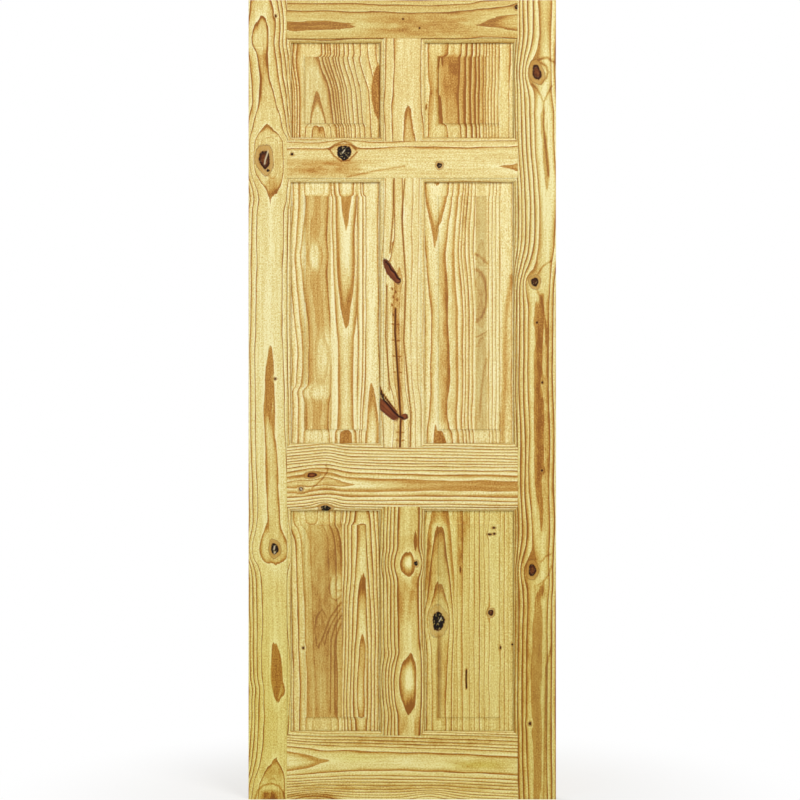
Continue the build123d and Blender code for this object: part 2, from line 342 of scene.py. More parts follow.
def pine_material(name):
    """Planed pine: satin, with rings, fibres and knots read from the board's own fields."""
    material = bpy.data.materials.new(name)
    material.use_nodes = True
    tree = material.node_tree
    tree.nodes.clear()
    fields = {field: node(tree, "Attribute", {}, attribute_name=field).outputs["Fac"] for field in FIELDS}
    sawn = node(tree, "Attribute", {}, attribute_name="sawn").outputs["Vector"]
    noises = {}
    for kind, (wide, long, detail) in NOISE_SIZES.items():
        place = node(tree, "VectorMath", {0: sawn, 1: (1 / wide, 1 / long, 1 / wide)}, operation="MULTIPLY")
        noises[kind] = node(tree, "TexNoise", {"Vector": place, "Scale": 1.0, "Detail": detail})

    # Rings sway a little, and each is stronger or fainter than the last. Knots have ragged edges.
    sway = node(tree, "Math", {0: noises["wavy"], 1: SWAY, 2: -SWAY / 2}, operation="MULTIPLY_ADD")
    phase = node(tree, "Math", {0: fields["rings"], 1: sway}, operation="ADD")
    passed = node(tree, "Math", {0: phase}, operation="FRACT")
    count = node(tree, "Math", {0: phase}, operation="FLOOR")
    chance = node(tree, "TexWhiteNoise", {"W": count}, noise_dimensions="1D")
    outside = node(tree, "Math", {0: passed, 1: fields["ring_width"]}, operation="MULTIPLY")
    ragged = node(tree, "Math", {0: noises["grit"], 1: RAGGED, 2: -RAGGED / 2}, operation="MULTIPLY_ADD")
    from_knot = node(tree, "Math", {0: fields["knot"], 1: ragged}, operation="ADD")

    # What follows from one value: the value, where its range starts and ends, and what it gives at both
    bark, grit = fields["bark"], noises["grit"]
    ranges = {
        "strength": (chance, 0, 1, 0.95, 1.25),
        "lens": (fields["lens"], 0, 0.2, 0, 0.62),
        "fresh": (outside, 0, 1.6, -0.24, 0),  # spring wood is palest just outside a dark line
        "uneven": (noises["cloud"], 0.3, 0.7, 0.45, 1.4),
        "canals": (noises["dash"], 0.64, 0.74, 0, 0.3),  # of resin, as short dark dashes
        "pitch": (fields["streak"], 0.4, 1, 0, 1),  # streaks turn from brown to black
        "core": (from_knot, 1.1, 0.95, 0, 1),
        "edge": (from_knot, 1.22, 1.08, 0, 1),
        "halo": (from_knot, 1.98, 1.86, 0, 0.75),  # brown wood round a knot, which ends at a line of its own
        "worn": (grit, 0.58, 0.36, 0, 0.75),
        # painted glints: pale specks where a black knot's glossy resin catches the light
        "glint": (grit, 0.57, 0.66, 0, 0.5),
        "grown": (bark, -1, 0, 0.3, 1),
        "red": (bark, 0, -1, 0, 0.75),  # spike knots, sawn along their length
        "sound": (bark, -0.5, 0, 0, 1),
        "dead": (bark, 1.3, 1.05, 0.1, 1),  # a dead knot has no halo
        "sheen": (noises["fibre"], 0, 1, 0.62, 0.5),
    }
    shares = {}
    for share, (value, start, end, at_start, at_end) in ranges.items():
        inputs = {"Value": value, "From Min": start, "From Max": end, "To Min": at_start, "To Max": at_end}
        shares[share] = node(tree, "MapRange", inputs)
    loose = node(tree, "Math", {0: bark, 1: 0.0}, operation="MAXIMUM")
    products = {
        "strength": (shares["strength"], fields["late_dark"]),
        "patch": (shares["uneven"], fields["mottle"]),
        "worn": (shares["worn"], shares["core"], shares["grown"]),
        "black": (shares["core"], loose),
        "glint": (shares["core"], loose, shares["glint"]),
        "halo": (shares["halo"], shares["sound"], shares["dead"]),
    }
    for product, (value, *factors) in products.items():
        for factor in factors:
            value = node(tree, "Math", {0: value, 1: factor}, operation="MULTIPLY")
        shares[product] = value
    halo = node(tree, "Math", {0: shares["halo"], 1: shares["edge"]}, operation="MAXIMUM")

    # Late wood darkens to its ring's edge, and fills the lenses
    left = node(tree, "Math", {0: 1.0, 1: passed}, operation="SUBTRACT")
    left = node(tree, "Math", {0: left, 1: fields["ring_width"]}, operation="MULTIPLY")
    left = node(tree, "Math", {0: left, 1: LATE_REACH}, operation="DIVIDE", use_clamp=True)
    late = node(tree, "ValToRGB", {"Fac": left}, LATE_TONES)
    late = node(tree, "Math", {0: late, 1: shares["strength"]}, operation="MULTIPLY")
    late = node(tree, "Math", {0: late, 1: shares["lens"]}, operation="MAXIMUM")

    # Brown: late wood, the board's own tone, uneven patches, streaks, resin canals, fibres and flecks
    browns = [(shares["patch"], 1.0), (shares["fresh"], fields["late_dark"]), (fields["shade"], 1.0)]
    browns += [(fields["streak"], 1.3), (noises["fibre"], 0.4), (noises["broad"], 0.5)]
    browns += [(noises["cloud"], 0.2), (noises["fleck"], 1.1), (shares["canals"], 1.0)]
    brown = late
    for value, amount in browns:
        brown = node(tree, "Math", {0: value, 1: amount, 2: brown}, operation="MULTIPLY_ADD")
    brown = node(tree, "Math", {0: brown, 1: PALE}, operation="SUBTRACT", use_clamp=True)
    wood = node(tree, "ValToRGB", {"Fac": brown}, WOOD_COLOURS)

    # Blue mould greys the wood, pitch blackens it, and dust lies in the quirks and along the sight lines,
    # with painted shade in the same recesses
    dust_and_shade_amount = node(tree, "Math", {0: fields["dust_and_shade"], 1: DUST_AND_SHADE_SHARE}, operation="MULTIPLY", use_clamp=True)
    for share, colour in ((fields["stain"], "#A39A70"), (shares["pitch"], "#3C1C10"), (dust_and_shade_amount, "#745828")):
        wood = node(tree, "Mix", {0: share, 6: wood, 7: linear(colour)}, data_type="RGBA")

    # Knots: a red-brown heart, worn or black with pale bits of resin that carry painted glints, and a dark
    # bark ring
    knot_place = node(tree, "Math", {0: from_knot, 1: KNOT_REACH}, operation="DIVIDE")
    knot_wood = node(tree, "ValToRGB", {"Fac": knot_place}, KNOT_COLOURS)
    layers = [(shares["worn"], "#43200F"), (shares["red"], "#87482A")]
    layers += [(shares["black"], "#150B07"), (shares["glint"], "#C9B27C")]
    for share, colour in layers:
        knot_wood = node(tree, "Mix", {0: share, 6: knot_wood, 7: linear(colour)}, data_type="RGBA")
    wood = node(tree, "Mix", {0: halo, 6: wood, 7: knot_wood}, data_type="RGBA")

    # Gold deepens the yellow towards the bottom of the door and in golden resin streaks: it multiplies the
    # colour by a clear amber
    amber = {0: fields["gold"], 6: wood, 7: linear("#E3E078")}
    wood = node(tree, "Mix", amber, data_type="RGBA", blend_type="MULTIPLY")

    # Splits in the knots show pale resin, some of them painted glints where it catches the light, and cracks
    # are dark
    crack = node(tree, "Math", {0: fields["split_and_glint"], 1: -1.0}, operation="MULTIPLY", use_clamp=True)
    for share, colour in ((fields["split_and_glint"], "#DDCDA6"), (crack, "#2A120A")):
        wood = node(tree, "Mix", {0: share, 6: wood, 7: linear(colour)}, data_type="RGBA")

    # Planed surface: hard late wood stands a hair proud of the soft spring wood, and fibres break the sheen
    relief = node(tree, "Math", {0: late, 1: 0.5, 2: noises["fibre"]}, operation="MULTIPLY_ADD")
    bump = node(tree, "Bump", {"Strength": 0.35, "Distance": RELIEF, "Height": relief})
    look = {"Base Color": wood, "Roughness": shares["sheen"], "Normal": bump, "IOR": 1.45}
    planed = node(tree, "BsdfPrincipled", look | {"Specular IOR Level": 0.15})
    node(tree, "OutputMaterial", {"Surface": planed})
    return material


PINE = {slot: pine_material(slot) for slot in ("stile_pine", "rail_pine", "mullion_pine", "panel_pine")}
QUIRK_DUST_AND_SHADE = (1.0, 0.7, 1.0)  # dust and painted shade in the quirk's corner, on its shelf, and at the sight line
END_DUST = 0.7


def edge_outline(moulded):
    """Half of a board's edge from its face to its middle, as offset past the face's edge, level from the
    middle of the thickness, the room that a joint leaves there for the other board's moulding, and dust with
    painted shade in its recesses. A moulded edge has the broken arris, the quirk, a quarter circle and the
    groove; a plain one has a rounded arris and stays flat."""
    turn = np.linspace(0, np.pi / 2, 9)
    ovolo_offset = QUIRK_WIDTH + OVOLO_RADIUS * np.sin(turn)
    ovolo_level = SHELF_LEVEL - OVOLO_RADIUS * (1 - np.cos(turn))
    level = np.concatenate([[FACE_LEVEL - JOINT_EASE, SHELF_LEVEL], ovolo_level, [HALF_GROOVE, HALF_GROOVE]])
    room = np.concatenate([[0, 0], ovolo_offset, [STICKING, 0]])
    if moulded:
        dust_and_shade_amount = np.zeros(len(level))
        dust_and_shade_amount[[1, 2, -2]] = QUIRK_DUST_AND_SHADE
        return room, level, room, dust_and_shade_amount
    arris = np.radians([30, 60, 90])
    arris_offset = ARRIS_RADIUS * (np.sin(arris) - 1)
    arris_level = FACE_LEVEL - ARRIS_RADIUS * (1 - np.cos(arris))
    offset = np.concatenate([arris_offset, np.zeros(len(level) - 1)])
    level = np.concatenate([arris_level, level[1:]])
    return offset, level, np.concatenate([np.zeros(3), room[1:]]), np.zeros(len(level))


def fine_marks(timber):
    """Places across and along a board where its points lie closer: at its knots and curls, and across the
    streaks too."""
    curls = [place for line, _, _ in timber.get("curls", []) for place in line]
    knots = np.array([knot[0] for knot in timber.get("knots", [])] + curls).reshape(-1, 2)
    streaks = np.array([place for line, _, _ in timber.get("streaks", []) for place in line]).reshape(-1, 2)
    knot_x, streak_x = ((places[:, 0] - PHOTO_HINGE_EDGE) * PHOTO_MM for places in (knots, streaks))
    knot_z, streak_z = (DOOR_HEIGHT - places[:, 1] * PHOTO_MM for places in (knots, streaks))
    if timber["upright"]:
        return np.concatenate([knot_x, streak_x]), knot_z
    return np.concatenate([knot_z, streak_z]), knot_x


def go_round(face, high, low, back=1):
    """Values of a section's half taken round the whole: the front face, the high edge in to its middle and
    out again, the back face, and the low edge. The back's values are the front's times back."""
    return np.concatenate([face, high, back * high[::-1], back * face[::-1], back * low, low[::-1]])


def framing_board(name, slot, timber, face, ends, moulded, scribed):
    """Board of the frame: its section, taken round from the front face over both edges, is carried along the
    grain. Where it is scribed, each point of the section stops short by the other board's moulding at that
    level, so that the mouldings meet in a mitre. Strips across the thickness close the ends."""
    across_marks, along_marks = fine_marks(timber)
    low_offset, low_level, low_room, low_dust_and_shade = edge_outline(moulded[0])
    high_offset, high_level, high_room, high_dust_and_shade = edge_outline(moulded[1])
    low_ease, high_ease = (JOINT_EASE if edge else ARRIS_RADIUS for edge in moulded)
    columns = crowd(face[0] + low_ease, face[1] - high_ease, ACROSS_SPACING, across_marks, ACROSS_REACH)
    none = np.zeros(len(columns))
    across = go_round(columns, face[1] + high_offset, face[0] - low_offset)
    depth = go_round(none - FACE_LEVEL, -high_level, -low_level, back=-1)
    room = go_round(none, high_room, low_room)
    dust_and_shade_amount = go_round(none, high_dust_and_shade, low_dust_and_shade)

    stations = crowd(ends[0] + 1, ends[1] - 1, ALONG_SPACING, along_marks, ALONG_REACH)
    stations = np.concatenate([[ends[0]], stations, [ends[1]]])
    share = ((stations - ends[0]) / (ends[1] - ends[0]))[:, None]
    stop = room if scribed else np.zeros_like(room)
    along = ends[0] + stop + share * (ends[1] - ends[0] - 2 * stop)

    # A shoulder's arris is broken, so the faces' first and last rows of points sit a hair deeper
    on_face = np.abs(depth) > FACE_LEVEL - 0.01
    level = np.repeat(depth[None, :], len(stations), axis=0)
    level[[0, -1]] -= np.sign(depth) * on_face * (JOINT_EASE if scribed else ARRIS_RADIUS / 4)
    # Dust and painted shade follow the section's quirks and sight lines, and dust darkens the joint at a
    # scribed shoulder
    dust_and_shade = np.repeat(dust_and_shade_amount[None, :], len(stations), axis=0)
    dust_and_shade[[0, -1]] = np.maximum(dust_and_shade[[0, -1]], END_DUST if scribed else 0.0)

    wide = np.repeat(across[None, :], len(stations), axis=0)
    axes = [wide, level, along] if timber["upright"] else [along, level, wide]
    points = np.stack(axes, axis=-1).reshape(-1, 3)
    width = len(across)
    row, column = np.meshgrid(np.arange(len(stations) - 1), np.arange(width), indexing="ij")
    following = (column + 1) % width
    skin = np.stack([row * width + column, row * width + following], axis=-1)
    skin = np.concatenate([skin, skin[..., ::-1] + width], axis=-1).reshape(-1, 4)

    # Strips close an end between the faces, and polygons close its edges
    count = len(columns)
    strip = np.arange(count - 1)
    high_front = count + np.arange(len(high_offset))
    high_back = high_front[-1] + len(high_offset) - np.arange(len(high_offset))
    back = high_back[0] + count - np.arange(count)
    low_back = back[0] + 1 + np.arange(len(low_offset))
    low_front = low_back[-1] + len(low_offset) - np.arange(len(low_offset))
    edges = [(count - 1, count - 2, high_front, high_back, moulded[1])]
    edges += [(0, 1, low_front, low_back, moulded[0])]
    caps = []
    for last in (0, (len(stations) - 1) * width):
        cap = np.stack([strip, strip + 1, back[strip + 1], back[strip]], axis=1).tolist()
        for corner, beside, front_edge, back_edge, edge_moulded in edges:
            edge = np.concatenate([front_edge, back_edge[::-1]])
            if edge_moulded:
                cap.append([corner, *front_edge[[0, 1, -1]], *back_edge[[-1, 1, 0]], back[corner]])
                cap += [front_edge[1:].tolist(), back_edge[1:].tolist()]
            elif not scribed:
                cap.append([corner, *edge, back[corner]])
            else:
                # A plain edge drops from its scribed line to the straight shoulder, clear of the other board
                foot = points[edge + last]
                foot[:, 0] = points[corner + last, 0]
                foot[:, 2] = points[corner + last, 2]
                drop = len(points) - last + np.arange(len(edge))
                points = np.concatenate([points, foot])
                low, high = sorted((corner, beside))
                cap.remove([low, high, back[high], back[low]])
                cap.append([beside, corner, *drop, back[corner], back[beside]])
                cap += [[corner, edge[0], drop[0]], [back[corner], drop[-1], edge[-1]]]
                cap += np.stack([edge[:-1], edge[1:], drop[1:], drop[:-1]], axis=1).tolist()
        caps += [[int(point) + last for point in polygon] for polygon in cap]
    dust_and_shade = np.concatenate([dust_and_shade.ravel(), np.zeros(len(points) - dust_and_shade.size)])
    lay_board(name, slot, timber, points, skin.tolist() + caps, dust_and_shade)


STILE_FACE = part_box("hinge_stile")[1].x / MM - STICKING
DOOR_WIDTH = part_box("lock_stile")[1].x / MM

# Each timber below: piths as (along, across, depth), rings as radius or (radius, late wood, darkness),
# staves as (right edge, tone, pith, rings), knots as (middle, half sizes, bark, turn), bulges as (middle,
# reach), lenses as (middle, half sizes), soft patches as (middle, half sizes, amount) and lines as (places,
# half width, strength). Bark runs from -1 for a red spike knot over 0 for a sound one to 1 and more for a
# black one.
hinge_stile_pith = [
    (0, 261, 21.5), (15.5, 261.5, 20), (27, 261, 18.7), (42, 259.5, 18), (57, 262.8, 19.2),
    (75, 264.6, 19.3), (90, 266.4, 18.7), (105, 267.7, 17.8), (118, 267.6, 15), (124, 267.4, 14),
    (130, 267.6, 12.7), (137, 268.6, 8), (143, 269.5, 2), (165, 270, 2), (178, 271, 7.4),
    (190, 272.4, 12.6), (198.5, 272.6, 14), (212, 270.5, 14.6), (330, 269, 14.7), (347, 269, 14),
    (380, 269.5, 13.3), (430, 270, 12.8), (500, 273, 12.3), (545, 273.8, 12.4), (560, 274, 12.7),
    (564.5, 274.2, 14.1), (575, 274.3, 14.8), (600, 274.5, 15.2), (630, 275.5, 14.6), (642, 275.7, 14),
    (660, 276.3, 13), (678, 277, 12.7), (691, 279, 12.6), (702, 277.7, 14), (720, 277, 15),
    (745, 275.5, 15.1), (760, 274.5, 14), (772, 274, 10.5), (785, 272, 5), (800, 271, 2),
]
hinge_stile_rings = [(8, 0.8, 0.16), (14, 1.0, 0.66), (20, 0.5, 0.8), 23.8, 27, 29.7, 33, 36.5, 40]
foot_arch = [(255, 799), (258, 790), (264, 785), (272, 783.5), (279, 786), (283, 792), (285, 799)]
hinge_stile_timber = dict(
    upright=True, seed=1, tone=0.0, gold=0.12, late=(0.9, 0.72),
    staves=[(np.inf, 0, hinge_stile_pith, hinge_stile_rings)],
    bulges=[((274.6, 548.5), (20, 17))],
    knots=[
        ((264.5, 159.5), (5.0, 8.4), 0.35, 0.1), ((274.6, 548.8), (3.4, 5.2), 0.95, 0.1),
        ((275.7, 16), (0.9, 1.3), 0.4, 0), ((275.2, 378.8), (1.1, 1.1), 0.6, 0),
        ((268, 170.5), (1.6, 1.2), 1, 0),
    ],
    mottles=[
        ((278, 158), (8, 16), 0.1), ((272.5, 186), (7, 8), 0.34), ((271, 798), (10, 7), 0.8),
        ((268, 80), (30, 110), 0.08), ((268, 400), (24, 140), -0.05), ((273, 774), (9, 7), 0.3),
    ],
    curls=[(foot_arch, 1.0, 0.36)],
    splits_and_glints=[
        ([(268.3, 150.5), (266.6, 156), (265.2, 160), (264.6, 164)], 0.6, 1),
        # painted glints on the black knot low on the stile
        ([(274.6, 546.3), (274, 549.5)], 0.6, 1), ([(275.2, 552), (274.4, 553)], 0.6, 1),
    ],
    lenses=[((276.5, 673), (6.6, 31)), ((269.5, 385), (4.6, 42))],
    golds=[((265, 720), (60, 220), 0.5)],
)
framing_board(
    "hinge_stile", "stile_pine", hinge_stile_timber, (0, STILE_FACE), (0, DOOR_HEIGHT), (False, True), False
)

lock_stile_pith = [
    (0, 545, 20.5), (30, 545, 20.8), (58, 543, 20.4), (72, 542, 20.2), (88, 543, 20.2), (102, 543.6, 19.7),
    (115, 544, 19.25), (150, 545, 19.25), (185, 547.5, 19.4), (205, 548, 19.8), (240, 547, 20.2),
    (268, 543, 19.9), (284, 540, 19.7), (298, 539, 19.3), (330, 538.5, 18.9), (382, 538, 18.9),
    (440, 539.5, 18.8), (480, 539, 19), (530, 541, 19.6), (556, 540, 20), (570, 539, 19.8),
    (585, 539, 19.3), (600, 538, 19.2), (640, 537, 18.8), (700, 536.5, 18.7), (760, 537, 18.9),
    (800, 538, 19.1),
]
lock_stile_rings = [
    10, 15, (19.5, 1.5, 0.36), (21.7, 0.8, 0.6), (24.2, 1.0, 0.72), (27.2, 1.15, 0.78), (30.4, 1.1, 0.75),
    (33.2, 1.1, 0.7), (36, 1.1, 0.7), 39,
]
lock_stile_timber = dict(
    upright=True, seed=2, tone=0.02, gold=0.2, late=(1.0, 0.7),
    staves=[(np.inf, 0, lock_stile_pith, lock_stile_rings)],
    knots=[
        ((536.8, 72.4), (4.0, 7.0), 0.3, 0.25), ((534.8, 282), (3.4, 4.0), 0.7, 0),
        ((537, 322.5), (1, 1.2), 0.6, 0), ((542.2, 382.5), (1.1, 1.1), 0.6, 0),
        ((542, 470.5), (1.2, 1.2), 0.6, 0), ((532.2, 570), (3.4, 5.6), 0.4, 0),
        ((530, 723.7), (1.3, 1.6), 0.5, 0),
    ],
    bulges=[((537, 73), (10, 20)), ((534.8, 282), (10, 18)), ((532.2, 570), (11, 22))],
    mottles=[
        ((540, 130), (15, 135), -0.13), ((543, 410), (8, 120), 0.35), ((540, 700), (13, 115), 0.06),
        ((540, 592), (6, 7), 0.3), ((520, 620), (9, 190), 0.19), ((529, 650), (3, 50), 0.2),
    ],
    streaks=[
        ([(552, 645), (546, 668), (545, 720), (543.5, 799)], 1.0, 0.35),
        ([(543.5, 103), (543.8, 125), (545.5, 145), (548.5, 175)], 1.2, 0.42),
        ([(537, 291), (541, 297), (544, 312), (546, 330), (546, 345)], 0.9, 0.4),
    ],
    curls=[
        ([(537, 61), (542, 58.5), (547, 57.5), (551, 60.5), (556, 63)], 1.3, 0.44),
        ([(541, 63), (546, 66), (548, 72), (546, 78.5), (541, 83.5)], 1.3, 0.44),
        ([(532, 84), (537, 89), (541, 96), (543.5, 103)], 0.9, 0.4),
        ([(552, 86), (547.5, 94), (543.5, 103)], 0.9, 0.42),
        ([(538, 274), (543, 266), (551, 261)], 0.9, 0.35), ([(541, 562), (546, 556), (551, 554)], 0.8, 0.3),
        ([(538, 585), (544, 581), (549, 574), (551, 566)], 0.8, 0.3),
    ],
    golds=[((535, 720), (60, 230), 0.34)],
    stains=[((541, 705), (10, 105), 0.16), ((534, 140), (20, 160), 0.08)],
)
framing_board(
    "lock_stile", "stile_pine", lock_stile_timber, (DOOR_WIDTH - STILE_FACE, DOOR_WIDTH), (0, DOOR_HEIGHT),
    (True, False), False,
)


# Rails: four level boards between the stiles, of the same pine with the grain running across the door.
# Their ends are scribed over the stiles' mouldings, with a stub tenon glued into the groove behind.

top_rail_pith = [
    (287, 25.5, 11.2), (320, 25.7, 11.1), (345, 25.5, 11.6), (364, 25.4, 12), (420, 26.5, 12.9),
    (470, 25, 12.5), (479, 23.4, 12), (500, 22.5, 10.6), (518, 22, 8),
]
top_rail_timber = dict(
    upright=False, seed=3, tone=0.18, gold=0.2, late=(1.1, 0.6),
    staves=[(np.inf, 0, top_rail_pith, [6, (12, 1.5, 0.52), 18.9, 25.1, 30, 35])],
    knots=[
        ((516.5, 7), (1.8, 2.2), 0.6, 0), ((403, 19), (0.9, 0.9), 0.4, 0),
        ((419.5, 28), (0.9, 0.9), 0.4, 0),
    ],
    mottles=[((422, 26), (56, 10), 0.32)],
    stains=[((402, 20), (125, 24), 0.1)],
)

frieze_rail_pith = [
    (287, 168, 15), (330, 169, 14.6), (365, 168, 15), (420, 166, 15.4), (470, 166, 15.4),
    (500, 166.5, 14.5), (508, 166.8, 14), (518, 167, 13.3),
]
frieze_rail_timber = dict(
    upright=False, seed=4, tone=0.06, gold=0.05, late=(1.0, 0.55),
    staves=[(np.inf, 0, frieze_rail_pith, [8, 14, 25, 30, 34, 38])],
    knots=[
        ((344.2, 152.6), (6.6, 6.6), 1.3, 0.4), ((292, 154.2), (1.3, 1.2), 0.8, 0),
        ((439.4, 165.4), (2.4, 2.4), 0.9, 0),
    ],
    mottles=[((322, 168), (40, 8), 0.42)],
    curls=[
        ([(329, 149.5), (335, 144.5), (344, 141.4), (351, 143.5), (356, 150)], 0.8, 0.55),
        ([(330, 150), (334, 156), (341, 161), (349, 160.4), (357, 152)], 0.8, 0.5),
    ],
    splits_and_glints=[([(344.6, 150), (342.4, 153)], 0.5, 1)],
    streaks=[([(347, 177), (375, 171), (405, 166)], 0.8, 0.3)],
)

lock_rail_pith = [
    (287, 485, 6.2), (305, 483.2, 5.2), (326, 481.2, 5.6), (345, 484, 6.6), (351, 484.5, 7),
    (395, 485.3, 8), (430, 485.5, 8.9), (470, 485.8, 9.1), (518, 486.6, 9.2),
]
lock_rail_rings = [
    3.5, (7, 0.8, 0.5), (10.5, 2.4, 0.52), (14.5, 2.0, 0.62), 18, 21.5, 24, 26.6, 29.6, 32.6, 35.6,
]
lock_rail_timber = dict(
    upright=False, seed=5, tone=-0.05, gold=0.15, late=(1.0, 0.66),
    staves=[(np.inf, 0, lock_rail_pith, lock_rail_rings)],
    knots=[
        ((312, 475), (4.4, 2.2), 0.1, 0.1), ((301, 489), (1.8, 1.8), 0.5, 0),
        ((325.6, 508.3), (4.4, 2.8), 1, 0),
    ],
    streaks=[([(326, 465), (328, 471), (323, 478), (318, 483), (312, 488)], 0.7, 0.4)],
    splits_and_glints=[([(300.8, 488.4), (301.6, 489.6)], 0.7, 1)],
    mottles=[((312, 482), (22, 12), 0.16)],
)

bottom_rail_pith = [
    (287, 761, 6.6), (305, 761.3, 9.6), (324.5, 761.3, 12), (345, 761, 12.7), (395, 761.5, 13.3),
    (450, 763, 13.4), (518, 766, 13.2),
]
bottom_rail_rings = [6, (12, 1.8, 0.55), (16.5, 1.1, 0.6), 20, 22.5, 25, 28, 31.5, 34, 36.5, 39, 42]
bottom_rail_timber = dict(
    upright=False, seed=6, tone=-0.06, gold=0.38, late=(0.9, 0.6),
    staves=[(np.inf, 0, bottom_rail_pith, bottom_rail_rings)],
    bulges=[((312, 806), (22, 12)), ((431, 806), (22, 12))],
    mottles=[
        ((420, 741), (100, 5), 0.25), ((400, 787), (110, 4), 0.22), ((312, 798), (26, 5), 0.5),
        ((482, 765), (30, 5), 0.2), ((450, 752), (65, 3), 0.06), ((420, 767), (30, 6), -0.07),
    ],
    golds=[((480, 765), (28, 5), 0.36), ((354, 758), (26, 5), 0.2)],
)

RAIL_ENDS = (STILE_FACE, DOOR_WIDTH - STILE_FACE)
RAILS = {
    "top_rail": (top_rail_timber, (True, False)),
    "frieze_rail": (frieze_rail_timber, (True, True)),
    "lock_rail": (lock_rail_timber, (True, True)),
    "bottom_rail": (bottom_rail_timber, (False, True)),
}
RAIL_FACES = {}
for name, (timber, moulded) in RAILS.items():
    low, high = (corner.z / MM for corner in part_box(name))
    RAIL_FACES[name] = (low + STICKING * moulded[0], high - STICKING * moulded[1])
    framing_board(name, "rail_pine", timber, RAIL_FACES[name], RAIL_ENDS, moulded, True)


# Mullions: three short uprights in the middle of the door, between the rails and scribed to them.
# The middle one was sawn through the heart of a trunk: it shows the pith as a dark crack, and spike knots.

upper_mullion_pith = [
    (40, 408, 15.5), (95, 407, 15), (104.5, 406.7, 14), (120, 407.8, 13.3), (141, 409.5, 12.5),
]
upper_mullion_timber = dict(
    upright=True, seed=7, tone=0.09, gold=0.0, late=(0.9, 0.6),
    staves=[(np.inf, 0, upper_mullion_pith, [8, 14, 21.2, 27.3, 33, 38])],
)

middle_mullion_pith = [
    (180, 399, 7.4), (225, 398.2, 7.2), (250, 397.6, 6), (290, 396.3, 1.6), (340, 395.6, 1.4),
    (380, 396.4, 1.2), (410, 400, 1.4), (447, 400, 1.5),
]
middle_mullion_rings = [(4, 1.2, 0.3), (8.6, 0.6, 0.8), 16, 22, 28]
upper_crack = [(384.6, 260.5), (389, 265), (391, 269.5), (395, 273), (397.2, 277.5), (400, 279.5)]
lower_crack = [(380.6, 393), (384, 400), (389.5, 406.5), (394, 412), (399, 416.5), (403, 418)]
heart_crack = [(395.5, 309), (395, 331), (397, 362), (399, 392), (400.6, 419), (400, 447)]
red_line = [(404.7, 179), (402, 217), (406, 280), (404, 341), (408, 385), (411, 413), (410, 447)]
cross_ticks = [(395.2, 324), (395.6, 340), (396.6, 356), (397.8, 372), (399.6, 432), (400, 440)]
speckles = [(392, 288), (395.5, 291), (393, 296), (397, 299), (391.8, 304), (395, 308), (393, 314)]
middle_mullion_timber = dict(
    upright=True, seed=8, tone=0.0, gold=0.0, late=(0.9, 0.4),
    staves=[(np.inf, 0, middle_mullion_pith, middle_mullion_rings)],
    knots=[
        ((391.2, 271.6), (3.7, 13.4), -1, 0.56), ((398.4, 280.6), (2.3, 2.5), -1, 0),
        ((386.6, 408.6), (4.6, 14.6), -1, 0.8), ((404.2, 416.8), (3.6, 2.8), -1, 0.3),
    ],
    cracks=[
        (upper_crack, 0.9, 1.4), (lower_crack, 0.9, 1.4),
        ([(384.6, 264), (387, 271), (391, 277), (396, 281.5)], 0.6, 0.5),
        ([(386.5, 265), (390, 272.5), (395, 279)], 0.6, 0.6),
        ([(397, 283), (400.5, 282), (400.5, 279.5)], 0.6, 0.8),
        ([(380.5, 404), (386, 409), (392, 415), (398, 419)], 0.6, 0.55),
        ([(380.5, 409.5), (387, 414), (394, 418.5)], 0.6, 0.5),
        ([(402, 419.5), (406, 418.5), (407.5, 415)], 0.6, 0.7),
    ],
    streaks=[
        (heart_crack, 1.0, 1), ([(380, 388), (382.5, 394), (388, 401), (396, 411.5)], 0.8, 1.3),
        ([(387, 285), (385.8, 336), (388, 368), (389.2, 390)], 0.8, 0.6),
        ([(393.5, 179), (393, 217), (390, 253)], 0.9, 0.6), (red_line, 0.8, 0.62),
    ],
    curls=[([(x - 3.5, y), (x + 4, y + 0.5)], 0.6, 0.5) for x, y in cross_ticks]
    + [([(x, y), (x + 0.4, y + 1.6)], 0.6, 0.75) for x, y in speckles],
    mottles=[((398.5, 350), (4.5, 95), 0.3), ((394, 300), (4, 20), 0.2)],
)

lower_mullion_pith = [
    (508, 409, 13), (545, 408, 12.9), (551.5, 408, 12), (554, 408, 11), (557.8, 408, 9.8), (564, 408, 8.9),
    (570.2, 408, 9.8), (574, 408, 11), (576.5, 408, 12), (585, 408, 12.9), (645, 409, 12.5), (653, 410, 12),
    (668, 408.5, 9.2), (680, 408, 8.2), (697, 408.5, 9.2), (715.5, 409.8, 12), (735, 409, 12.6),
]
lower_mullion_rings = [5, (12, 1.8, 0.68), (17, 0.9, 0.95), 19.6, 22.4, 25.1, 28.5, 32, 36]
lower_mullion_timber = dict(
    upright=True, seed=9, tone=0.09, gold=0.35, late=(0.9, 0.78),
    staves=[(np.inf, 0, lower_mullion_pith, lower_mullion_rings)],
    knots=[((415.9, 563.5), (1.9, 2.1), 1, 0)],
    lenses=[((415.5, 541), (2.2, 11))],
    mottles=[
        ((405, 600), (9, 20), 0.25), ((415, 586), (4, 15), 0.28), ((405, 724), (5, 11), 0.22),
        ((417, 727), (3, 10), 0.25), ((409, 543), (8, 8), 0.14), ((408.5, 562), (4, 6), -0.4),
        ((409.5, 678), (4.5, 13), -0.4), ((409.5, 703), (5, 9), 0.4),
    ],
)

MULLIONS = {
    "upper_mullion": (upper_mullion_timber, "frieze_rail", "top_rail"),
    "middle_mullion": (middle_mullion_timber, "lock_rail", "frieze_rail"),
    "lower_mullion": (lower_mullion_timber, "bottom_rail", "lock_rail"),
}
for name, (timber, below, above) in MULLIONS.items():
    low, high = (corner.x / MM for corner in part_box(name))
    mullion_face = (low + STICKING, high - STICKING)
    mullion_ends = (RAIL_FACES[below][1], RAIL_FACES[above][0])
    framing_board(name, "mullion_pine", timber, mullion_face, mullion_ends, (True, True), True)


# Panels: six raised panels, each glued up from upright staves and left loose in the grooves.
# A flat field stands above a small square shoulder, a hollow cove and a sloping margin with a tongue.

